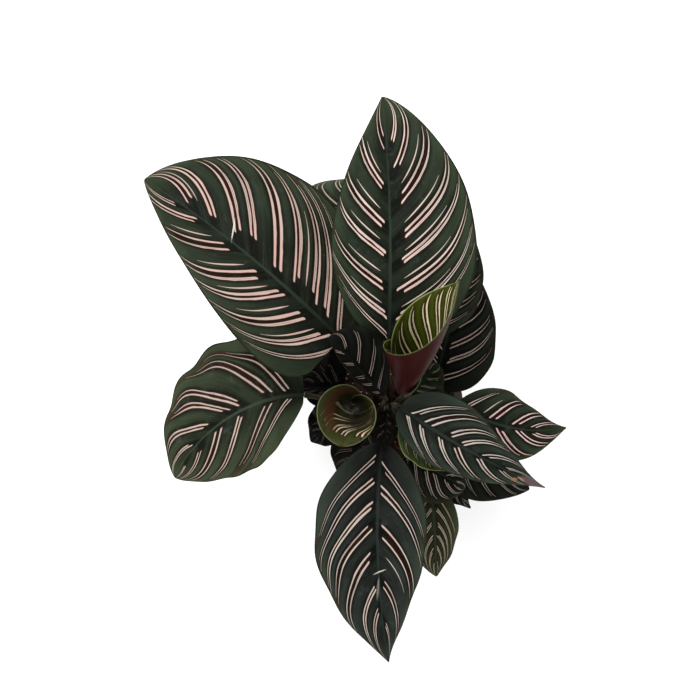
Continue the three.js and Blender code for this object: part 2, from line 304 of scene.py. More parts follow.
def make_pot():
    band_foot = POT_HEIGHT - RIM_BAND_HEIGHT
    band_radius = inner_radius(band_foot) + POT_WALL
    lip_radius = POT_MOUTH_RADIUS + LIP_OUT
    profile = [
        (0, 0),
        (POT_BASE_RADIUS, 0),
        (band_radius, band_foot),
        (band_radius + RIM_BAND_OUT, band_foot + RIM_BAND_SLOPE),
        (POT_MOUTH_RADIUS + RIM_BAND_OUT, POT_HEIGHT - LIP_HEIGHT),
        (lip_radius, POT_HEIGHT - LIP_HEIGHT + LIP_CHAMFER),
        (lip_radius, POT_HEIGHT - LIP_CHAMFER),
        (lip_radius - LIP_CHAMFER, POT_HEIGHT),
        (inner_radius(POT_HEIGHT), POT_HEIGHT),
        (inner_radius(POT_WALL), POT_WALL),
        (0, POT_WALL),
    ]
    pot = turned("nursery_pot", profile, POT_SIDES)
    bevel = pot.modifiers.new("soft edges", "BEVEL")
    bevel.width = EDGE_BEVEL
    bevel.segments = 2
    bevel.limit_method = "ANGLE"
    bevel.angle_limit = BEVELLED_FROM
    sizes = {
        "Holes": DRAIN_HOLES,
        "Hole Radius": DRAIN_HOLE_RADIUS,
        "Circle Radius": DRAIN_CIRCLE_RADIUS,
        "Depth": POT_WALL * 4,
    }
    formed(pot, drain_holes(pot_finish()), sizes)
    pot.data.shade_smooth()
    pot.data.set_sharp_from_angle(angle=SHARP_FROM)
    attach(pot, "root")
    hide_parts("pot")


make_pot()

# Leaves: each grows as one piece, a slim petiole out of the soil, a swollen pulvinus where it turns, and a
# thin blade on a midrib. The upper face is dark green with pairs of pink lines, the underside wine red.
SOIL_TOP = 0.080
ROOT_DEPTH = 0.014
ROOT_RINGS = 2
PETIOLE_BASE_RADIUS = 0.0023
PETIOLE_RADIUS = 0.0016
PETIOLE_RINGS = 24
SHEATH_SHARE = 0.55
PETIOLE_STRAIGHT_SHARE = 0.45
PULVINUS_RADIUS = 0.0019
PULVINUS_LENGTH = 0.008
PULVINUS_SHARE = 0.1
BLADE_OPENS = 0.01
BLADE_HALF_THICKNESS = 0.00022
MARGIN_ROUNDING = 0.00033
TIP_ROUNDING = 0.003
RIB_TIP_RADIUS = 0.0004
RIB_TAPER = 0.6
FOLD_SOFTNESS = 0.002
HANDLE_SHARE = 0.36
RING_SPREAD = 1.6
COLUMN_CROWDING = 0.85
GROOVE_DEPTH = 0.0003
GROOVE_HALF_WIDTH = 0.0016
SCALLOP_SHIFT = 1.9
LEFT_SCALLOP = 0.3
WELD_DISTANCE = 0.00001

# How a lateral vein leaves the midrib and sweeps towards the margin, the same on every leaf of the plant
VEIN_START = 0.5
VEIN_SWEEP = 0.94
HOOK_START = 0.83
HOOK_SWEEP = -1.53
HOOK_POWER = 4.2
VEIN_FOOT = -0.25
VEIN_SPAN = 1.25

# What a leaf has unless its own entry says otherwise. Angles are in degrees: rise and fall are the midrib's
# pitch at its two ends, bow is its sideways bend, roll twists the blade, and curl is the radius that it is
# bent to across. Of the lines, gap and fine scale the spacing and width, line_end and line_taper say where
# and how fast they run out, fade thins their start, and sweep bends the veins. Light scales the colours.
ORDINARY_LEAF = dict(
    rise=20, fall=-25, bow=0, roll=(0, 0), fold=10, curl=(-0.120, -0.120), overlap=0, wave=0.0012, waves=3,
    scallop=0.0004, rings=72, columns=44, young=False, rolled=False, gap=0.8, fine=1.0, line_end=0.93,
    line_taper=2.4, sweep=(0.0, 0.0), fade=0.0, light=1.0, colours={}, marks=(),
)


def xyz(wire, x=0.0, y=0.0, z=0.0):
    return wire.node("ShaderNodeCombineXYZ", {}, {0: x, 1: y, 2: z})


def larger(first, second):
    return first.work("MAXIMUM", first, second)


def smaller(first, second):
    return first.work("MINIMUM", first, second)


def sine(angle):
    return angle.work("SINE", angle)


def cosine(angle):
    return angle.work("COSINE", angle)


def smooth(value):
    return ease(value, 0.0, 1.0)


def mixed(first, second, share):
    return first + (second - first) * share


def bezier(points, share):
    """The point and the unit tangent at a share of the way along a cubic curve."""
    rest = 1 - share
    a, b, c, d = points
    centre = a * rest**3 + b * (3 * share * rest**2) + c * (3 * share**2 * rest) + d * share**3
    course = (b - a) * rest**2 + (c - b) * (2 * share * rest) + (d - c) * share**2
    return centre, course.work("NORMALIZE", course)


def half_width(share, half):
    """Width of one half of the blade: round at the base, drawn out at the tip."""
    width, fullness, taper = (axis(half, i) for i in range(3))
    peak = fullness / (fullness + taper)

    def shape(x):
        return x**fullness * (1 - x) ** taper

    return width * shape(share) / shape(peak)


def marked_faces(geometry, name):
    """The numbers, 0 or 1, that the tree stored on its faces under that name."""
    return geometry.node("GeometryNodeInputNamedAttribute", {"data_type": "FLOAT"}, {"Name": name})


def leaf_shape(stalk_finish, under_finish):
    """One tree for all leaves: a closed skin of rings, from the root up the petiole to the blade's tip."""
    inputs = {f"{curve} {i}": "Vector" for curve in ("Petiole", "Midrib") for i in range(4)}
    inputs.update({name: "Vector" for name in ("Side", "Left Half", "Right Half")})
    inputs.update({f"{bend} at {end}": "Float" for bend in ("Roll", "Curl") for end in ("Base", "Tip")})
    inputs.update({name: "Float" for name in ("Fold", "Overlap", "Wave", "Waves", "Scallop")})
    inputs.update({name: "Int" for name in ("Petiole Rings", "Blade Rings", "Columns")})
    tree, given = new_shape("leaf", {**inputs, "Upper Finish": "Material"})
    stalk_rings, blade_rings = given["Petiole Rings"], given["Blade Rings"]
    rings = stalk_rings + blade_rings + (ROOT_RINGS + 1)
    sizes = {"Size X": 1.0, "Size Y": 1.0, "Vertices X": given["Columns"] * 2 + 1, "Vertices Y": rings}
    grid = stalk_rings.node("GeometryNodeMeshGrid", {}, sizes)
    place = grid.node("GeometryNodeInputPosition")
    column = axis(place, 0) + 0.5
    ring = (axis(place, 1) + 0.5) * (rings - 1)

    # Where the ring is: s runs up the petiole, t along the blade
    even_s = smaller(larger((ring - ROOT_RINGS) / stalk_rings, 0.0), 1.0)
    s = 1 - (1 - even_s) ** RING_SPREAD
    even_t = larger((ring - ROOT_RINGS - stalk_rings) / blade_rings, 0.0)
    t = (1 - cosine(even_t * math.pi)) / 2
    stalk_centre, stalk_course = bezier([given[f"Petiole {i}"] for i in range(4)], s)
    rib_centre, rib_course = bezier([given[f"Midrib {i}"] for i in range(4)], t)
    centre = stalk_centre + rib_centre - given["Midrib 0"]
    centre = centre - xyz(ring, z=(ring < ROOT_RINGS - 0.5) * ROOT_DEPTH)
    in_blade = t > 0.0
    course = mixed(stalk_course, rib_course, in_blade)
    blade = ease(t, 0.0, BLADE_OPENS)
    rib = mixed(PETIOLE_BASE_RADIUS, PETIOLE_RADIUS, ease(s, 0.0, SHEATH_SHARE))
    rib = mixed(rib, PULVINUS_RADIUS, ease(s, 1 - PULVINUS_SHARE, 1.0))
    rib = rib + t**RIB_TAPER * (RIB_TIP_RADIUS - PULVINUS_RADIUS)

    # The ring's own directions: across the blade, and up from its upper face
    side = given["Side"]
    across = side - course * side.work("DOT_PRODUCT", side, course)
    across = across.work("NORMALIZE", across)
    up = across.work("CROSS_PRODUCT", across, course)
    roll = mixed(given["Roll at Base"], given["Roll at Tip"], t) * smooth(s)
    across = across * cosine(roll) - up * sine(roll)
    up = across.work("CROSS_PRODUCT", across, course)

    # Where the point is on its ring: v runs from -1 at the left margin to 1 at the right
    even = 1 - abs(column * 4 - 2)
    upper = column < 0.5
    spread = mixed(abs(even), smooth(abs(even)), COLUMN_CROWDING) * even.work("SIGN", even)
    v = mixed(sine(even * (math.pi / 2)), spread, blade)
    right = even > 0.0
    width = mixed(half_width(t, given["Left Half"]), half_width(t, given["Right Half"]), right)
    beat = given["Waves"] * t * (2 * math.pi) + right * SCALLOP_SHIFT
    width = width + given["Scallop"] * mixed(LEFT_SCALLOP, 1.0, right) * 4 * t * (1 - t) * sine(beat)
    cap = (ring > 0.5) * (ease(1 - t, -TIP_ROUNDING, TIP_ROUNDING) * 2 - 1) ** 0.5
    full = (rib + width * blade) * cap
    distance = v * full
    radius = mixed(given["Curl at Base"], given["Curl at Tip"], t)
    turn = blade * distance / radius
    reach = radius + given["Overlap"] * turn / (2 * math.pi)
    flat_x = mixed(distance, reach * sine(turn), in_blade)
    flat_z = (radius - reach * cosine(turn)) * in_blade
    fold = given["Fold"] * blade * distance / (abs(distance) + FOLD_SOFTNESS)
    swell = 4 * t * (1 - t) * v * v
    ripple = given["Wave"] * blade * swell * sine(given["Waves"] * t * (2 * math.pi))
    x = flat_x * cosine(fold) - flat_z * sine(fold)
    z = flat_x * sine(fold) + flat_z * cosine(fold) + ripple
    lean = turn + fold

    # Thickness: round in the petiole, thin in the blade with a rounded margin and the midrib's keel below
    stem = larger(rib * rib * cap * cap - distance * distance, 0.0) ** 0.5
    inset = smaller(larger((full - abs(distance)) / MARGIN_ROUNDING, 0.0), 1.0)
    thin = (inset * (2 - inset)) ** 0.5 * BLADE_HALF_THICKNESS * cap
    groove = (1 - ease(abs(distance), 0.0, GROOVE_HALF_WIDTH)) * GROOVE_DEPTH * blade * (1 - t) * cap
    above = mixed(stem, thin - groove, blade)
    below = mixed(stem, larger(stem, thin), blade)
    offset = mixed(0 - below, above, upper)
    point = centre + across * (x - sine(lean) * offset) + up * (z + cosine(lean) * offset)

    skin = grid.node("GeometryNodeSetPosition", {}, {0: grid, "Position": point})
    kept = grid
    for name, kind, domain, value in (
        ("along", "FLOAT", "POINT", t),
        ("across", "FLOAT", "POINT", v),
        ("stalk", "FLOAT", "POINT", s),
        ("out", "FLOAT", "POINT", distance),
        ("lift", "FLOAT_VECTOR", "POINT", up),
        ("upper", "FLOAT", "FACE", upper),
        ("blade", "FLOAT", "FACE", ring > stalk_rings + ROOT_RINGS),
    ):
        settings = {"data_type": kind, "domain": domain}
        sockets = {0: kept, "Name": name, "Value": value}
        kept = kept.node("GeometryNodeStoreNamedAttribute", settings, sockets)
    tree.links.new(kept.socket, skin.socket.node.inputs[0])
    merged = skin.node("GeometryNodeMergeByDistance", {}, {0: skin, "Distance": WELD_DISTANCE})
    on_upper, on_blade = marked_faces(merged, "upper"), marked_faces(merged, "blade")
    upper_faces = (given["Upper Finish"], on_blade * on_upper > 0.5)
    close_shape(merged, (stalk_finish, True), (under_finish, on_blade > 0.5), upper_faces)
    return tree


def direction(angle, pitch):
    return Vector((math.cos(angle) * math.cos(pitch), math.sin(angle) * math.cos(pitch), math.sin(pitch)))


def blade_span(leaf):
    return Vector(leaf["tip"]) - Vector(leaf["joint"])


def leaf_sizes(leaf):
    """The tree's inputs for one leaf: the two curves that it follows, its halves and how it bends."""
    root = Vector((*leaf["root"], SOIL_TOP))
    joint, tip = Vector(leaf["joint"]), Vector(leaf["tip"])
    along = blade_span(leaf)
    course = math.atan2(along.y, along.x)
    bow = math.radians(leaf["bow"])
    start = direction(course + bow, math.radians(leaf["rise"]))
    end = direction(course - bow, math.radians(leaf["fall"]))
    reach = along.length * HANDLE_SHARE
    up = Vector((0, 0, 1))
    straight = root + up * (joint - root).length * PETIOLE_STRAIGHT_SHARE
    petiole = [root, straight, joint - start * PULVINUS_LENGTH, joint]
    midrib = [joint, joint + start * reach, tip - end * reach, tip]
    return {
        **{f"Petiole {i}": list(p) for i, p in enumerate(petiole)},
        **{f"Midrib {i}": list(p) for i, p in enumerate(midrib)},
        **{part.title(): float(leaf[part]) for part in ("overlap", "wave", "waves", "scallop")},
        "Side": [math.sin(course), -math.cos(course), 0.0],
        "Left Half": list(leaf["left"]),
        "Right Half": list(leaf["right"]),
        "Roll at Base": math.radians(leaf["roll"][0]),
        "Roll at Tip": math.radians(leaf["roll"][1]),
        "Fold": math.radians(leaf["fold"]),
        "Curl at Base": float(leaf["curl"][0]),
        "Curl at Tip": float(leaf["curl"][1]),
        "Petiole Rings": PETIOLE_RINGS,
        "Blade Rings": leaf["rings"],
        "Columns": leaf["columns"],
    }


def read(mesh, name, size=1):
    """A mesh's attribute as an array: one number for each point, or one row of numbers."""
    data = mesh.attributes[name].data
    values = np.empty(len(data) * size, np.float32)
    data.foreach_get("value" if size == 1 else "vector", values)
    return values if size == 1 else values.reshape(-1, size)


def vein_place(leaf, along, across):
    """Where on the midrib the vein through a point starts, as a share of the midrib."""
    out = np.abs(across)
    share = np.where(across < 0, leaf["left"][0], leaf["right"][0]) / blade_span(leaf).length
    lean = np.where(across < 0, leaf["sweep"][0], leaf["sweep"][1])
    start = along - share * (VEIN_START * out + HOOK_START * out**HOOK_POWER)
    place = start / (1 + share * (VEIN_SWEEP * out + HOOK_SWEEP * out**HOOK_POWER))
    return place - lean * out**2


# Lines that are not placed one by one stand at even steps, with play in the step and in the gap of a pair
PAIR_HALF_GAP = 0.022
PAIR_GAP_PLAY = (0.9, 1.2)
PAIR_STEP_PLAY = 0.12
FIRST_PAIR = -0.04


def regular_pairs(count, seed):
    """Pairs of lines at even steps with a little play, each as (upper line, lower line)."""
    draw = np.random.default_rng(seed)
    play = draw.uniform(-PAIR_STEP_PLAY, PAIR_STEP_PLAY, count)
    centres = (np.arange(count) + 0.55 + play) / (count + 0.7) + FIRST_PAIR
    pairs = []
    for centre in centres:
        upper = centre + draw.uniform(*PAIR_GAP_PLAY) * PAIR_HALF_GAP
        lower = centre - draw.uniform(*PAIR_GAP_PLAY) * PAIR_HALF_GAP
        pairs.append((upper, lower))
    return pairs


def pair_stops(pairs, gap):
    """A ramp's stops that give the nearest pair's place, half its gap, and a third line's place."""
    if not pairs:
        return [(0.0, (2.0, 0.0, 0.0, 1.0))]
    pairs = sorted(pairs, key=lambda pair: pair[1])
    places = [[(x - VEIN_FOOT) / VEIN_SPAN for x in pair] for pair in pairs]
    centres = [(pair[0] + pair[1]) / 2 for pair in places]
    stops = []
    for i, pair in enumerate(places):
        edge = 0.0 if i == 0 else (centres[i - 1] + centres[i]) / 2
        third = pair[2] if len(pair) > 2 else 0.0
        stops.append((edge, (centres[i], (pair[0] - pair[1]) / 2 * gap, third, 1.0)))
    return stops


# The upper face's lines, in millimetres, and in shares of the way from the midrib to the margin
MILLIMETRES = 1000
LINE_HALF = 0.70
LINE_HALF_PLAY = 0.38
LINE_EDGE_WIDTH = 0.9
LINE_WANDER = 0.95
LINE_SWELL = 1.1
LEAST_LINE = 0.12
THIRD_HALF = 0.58
LINE_START = 0.08
LINE_START_PLAY = 0.12
LINE_END_PLAY = 0.10
RIB_HALF_AT_BASE = 1.15
RIB_HALF_AT_TIP = 0.4
HEM_START = 0.968
HEM_END = 0.982
SKIN_DEPTH = 0.00012

# The ground between the lines from its darkest to its greyest, then the lines from their start to their end
# Of these tones, band is a greyer green that is partly painted sheen, and dust gives pale patches that are
# partly dust and partly painted sheen.
DARK_LEAF = dict(
    ground=(11, 13, 9), between=(23, 9, 5), edge=(50, 25, 18), band=(38, 45, 34), margin=(48, 58, 40),
    midrib=(42, 52, 40), dust=(62, 70, 64), hem=(26, 32, 22), start=(184, 163, 152), end=(180, 170, 157),
)
LINE_VEIN = (150, 104, 92)


def luck(place):
    """A number from 0 to 1 that is the same wherever the place is."""
    return place.node("ShaderNodeTexWhiteNoise", {}, {0: place}, out="Value")


def fine_veins(vein, across):
    """The dense, parallel veinlets between the laterals."""
    return noise(xyz(vein, vein, abs(across) * 4, across * 2), 1.0, 3, 0.6)


def upper_finish(name, leaf, colours):
    """Dark green with pairs of pink lines along its veins, a pale midrib and a finely veined skin."""
    material, wire, shader = finish(name)
    tones = {part: paint(*colour) for part, colour in colours.items()}
    length = blade_span(leaf).length
    widest = max(leaf["left"][0], leaf["right"][0]) * MILLIMETRES
    fine_scale = min(1.0, 0.12 + length / 0.19) * leaf["fine"]
    vein, across, along, out = stored(wire, "vein", "across", "along", "out")
    place = object_place(wire)
    a = abs(across)
    right = across > 0.0
    ramps = []
    for pairs in leaf["pairs"]:
        ramps.append(wire.node("ShaderNodeValToRGB", {"stops": pair_stops(pairs, leaf["gap"])}, {0: vein}))
    pair = blend(right, *ramps)
    centre, gap, third = (pair.node("ShaderNodeSeparateColor", {}, {0: pair}, out=i) for i in range(3))
    scale = VEIN_SPAN * length * MILLIMETRES
    half_gap = gap * scale

    # Each line has its own number, from its pair and its half, which sets how it wanders, starts and ends
    pair_number = centre * 61 + right * 7
    of_two = (vein > centre) * 3
    wobble = noise(xyz(wire, a * 5, pair_number, of_two), 1.0, 2) - 0.5
    line_number = xyz(wire, pair_number, of_two)
    start_luck = luck(line_number)
    end_luck = luck(line_number + (5.3, 1.7, 0))
    reach = (vein - centre) * scale + wobble * LINE_WANDER

    # One line: a blunt start near the midrib, tapering to a point before the margin
    off = abs(abs(reach) - half_gap)
    start = start_luck * LINE_START_PLAY + LINE_START
    end = leaf["line_end"] + end_luck * LINE_END_PLAY
    before = larger(start - a, 0.0) * widest
    off_start = (off * off + before * before) ** 0.5
    taper = larger(1 - (a / end) ** leaf["line_taper"], 0.0)
    if leaf["fade"]:
        taper = taper * ease(a, 0.0, leaf["fade"])
    half_line = (LINE_HALF + end_luck * LINE_HALF_PLAY) * fine_scale * taper * (1 + wobble * LINE_SWELL)
    line = (1 - ease(off_start - half_line, -0.15, 0.15)) * (half_line > LEAST_LINE)
    edge = (1 - ease(off_start - half_line, 0.15, LINE_EDGE_WIDTH)) * (1 - line) * (a < end + 0.03)
    split = (start_luck > 0.55) * ease(a, 0.2, 0.35) * (1 - ease(off, 0.08, 0.22)) * (half_line > 0.5)
    line = line * (1 - split * 0.8)
    half_third = (1 - ease(a, 0.35, 0.85)) * ease(a, 0.12, 0.3) * THIRD_HALF * fine_scale
    off_third = abs(vein - third) * scale - half_third
    thin = (1 - ease(off_third, -0.12, 0.12)) * (third > 0.01) * (half_third > 0.1)
    pink = larger(line, thin)

    # The ground: greyer green between the pairs, near black within them, fine veins along the laterals
    veins = fine_veins(vein * scale * 0.9, across)
    cells = noise(place, 1500, 2)
    cloud = noise(place, 45, 3)
    outer = ease(a, 0.1, 0.7)
    patches = ease(cloud * 0.6 + veins * 0.4, 0.38, 0.60)
    # Painted sheen, in part: the band tone, a greyer green between the pairs that grows lighter towards the
    # margin.
    away = ease(abs(reach) - half_gap, 0.8, 4.5) * (0.14 + patches * 0.40 + outer * 0.50)
    within = (1 - ease(abs(reach) - half_gap, -0.8, 0.3)) * ease(a, 0.08, 0.3)
    rim = ease(a, 0.72, 1.0) * 0.6 + ease(along, 0.86, 1.0) * 0.5
    lighter = (veins - 0.5) * 0.5 + (cells - 0.5) * 0.35
    # Pale grey-blue patches, partly real dust and partly painted sheen.
    dust = ease(noise(place, 105, 5, 0.7), 0.56, 0.74)
    rib_half = mixed(RIB_HALF_AT_BASE, RIB_HALF_AT_TIP, ease(along, 0.0, 0.9))
    rib = 1 - ease(abs(out) * MILLIMETRES - rib_half, -0.3, 0.3)
    # Painted shade, in part: the ground darkens towards the base of the blade, partly the leaf's own tone
    # and partly shade from the leaves above.
    base = (1 - ease(along, 0.0, 0.36)) * (0.75 - outer * 0.3)
    ground = tones["ground"]
    for share, part in (
        (away, "band"),
        (within * 0.95, "between"),
        (rim * (0.5 + cloud), "margin"),
        (ease(lighter, 0.02, 0.22) * 0.55, "margin"),
        (edge * 0.85, "edge"),
        (dust * 0.3, "dust"),
        (rib * mixed(0.9, 0.35, along), "midrib"),
        (base, "ground"),
    ):
        ground = blend(share, ground, tones[part])

    # The lines over the ground, then the margin's thin hem and the marks: the leaf's own scars and dry
    # spots, and painted shade
    stripe = blend(ease(a, 0.1, 0.8) * 0.8 + wobble * 0.4, tones["start"], tones["end"])
    stripe = blend(ease(veins, 0.45, 0.8) * 0.25, stripe, paint(*LINE_VEIN))
    colour = blend(pink * 0.96, ground, stripe)
    colour = blend(ease(a, HEM_START, HEM_END), colour, tones["hem"])
    for along_at, out_at, half_long, half_wide, degrees, tone, strength in leaf["marks"]:
        x, y = (along - along_at) * length, out - out_at
        turn = math.radians(degrees)
        u = (x * math.cos(turn) + y * math.sin(turn)) / half_long
        w = (y * math.cos(turn) - x * math.sin(turn)) / half_wide
        spot = 1 - ease((u * u + w * w) ** 0.5 + (cells - 0.5) * 0.9, 0.6, 1.1)
        colour = blend(spot * strength, colour, paint(*tone))
    height = veins * 0.5 + cells * 0.35 + pink * 0.25
    rough = 0.40 + (cells - 0.5) * 0.12 + pink * 0.08 + (cloud - 0.5) * 0.1
    feed(shader, Base_Color=colour, Roughness=rough, Normal=relief(height, SKIN_DEPTH))
    return material


UNDER_RED = (44, 10, 8)
UNDER_DARK = (26, 6, 5)
UNDER_CLOUD = (64, 27, 25)
UNDER_KEEL = (84, 66, 44)
UNDER_MARGIN = (70, 74, 44)
UNDER_DEPTH = 0.00015
STALK_GREEN = (38, 44, 22)
STALK_STREAK = (48, 26, 21)
STALK_RED = (50, 22, 20)
SHADED_PULVINUS_OLIVE = (25, 31, 16)
STALK_DEPTH = 0.0002


def under_finish():
    """Wine red with darker lateral veins and a paler keel."""
    material, wire, shader = finish("underside")
    vein, across, along, out = stored(wire, "vein", "across", "along", "out")
    place = object_place(wire)
    veins = fine_veins(vein * 170, across)
    cells = noise(place, 1200, 2)
    colour = blend(ease(veins, 0.3, 0.75) * 0.7, paint(*UNDER_RED), paint(*UNDER_DARK))
    colour = blend(ease(noise(place, 40, 3), 0.4, 0.8) * 0.35, colour, paint(*UNDER_CLOUD))
    keel = 1 - ease(abs(out) * MILLIMETRES, 0.6, 1.6)
    colour = blend(keel * mixed(0.8, 0.3, along), colour, paint(*UNDER_KEEL))
    colour = blend(ease(abs(across), 0.94, 1.0) * 0.6, colour, paint(*UNDER_MARGIN))
    rough = 0.45 + (cells - 0.5) * 0.15
    feed(shader, Base_Color=colour, Roughness=rough, Normal=relief(veins * 0.7 + cells * 0.3, UNDER_DEPTH))
    return material


def stalk_finish():
    """Brownish green with wine red streaks, redder towards the soil and a dark olive at the pulvinus that is
    partly painted shade.
    """
    material, wire, shader = finish("petiole")
    [stalk] = stored(wire, "stalk")
    place = object_place(wire)
    long = wire.node("ShaderNodeVectorMath", {"operation": "MULTIPLY"}, {0: place, 1: (900, 900, 60)})
    streaks = noise(long, 1.0, 3, 0.6)
    cells = noise(place, 1400, 2)
    colour = blend(ease(streaks, 0.35, 0.7), paint(*STALK_GREEN), paint(*STALK_STREAK))
    colour = blend((1 - ease(stalk, 0.0, 0.5)) * 0.7, colour, paint(*STALK_RED))
    # Painted shade, in part: the pulvinus, high in the shade of the leaves, is a dark olive.
    colour = blend(ease(stalk, 0.88, 0.97) * 0.8, colour, paint(*SHADED_PULVINUS_OLIVE))
    rough = 0.42 + (cells - 0.5) * 0.2
    height = streaks * 0.7 + cells * 0.3
    feed(shader, Base_Color=colour, Roughness=rough, Normal=relief(height, STALK_DEPTH))
    return material


BIG_LEAF = dict(rings=150, columns=96)
GREY_LINES = dict(start=(170, 161, 151), end=(158, 158, 144))
# Dim lines for the low leaves under the others, partly their own older colour and partly painted shade.
DIM_LINES = dict(start=(134, 118, 108), end=(124, 117, 105))
FURLED_PAIRS = [(0.07, 0.03), (0.17, 0.13), (0.268, 0.232), (0.37, 0.334), (0.478, 0.44), (0.575, 0.539),
                (0.675, 0.639), (0.80, 0.77)]

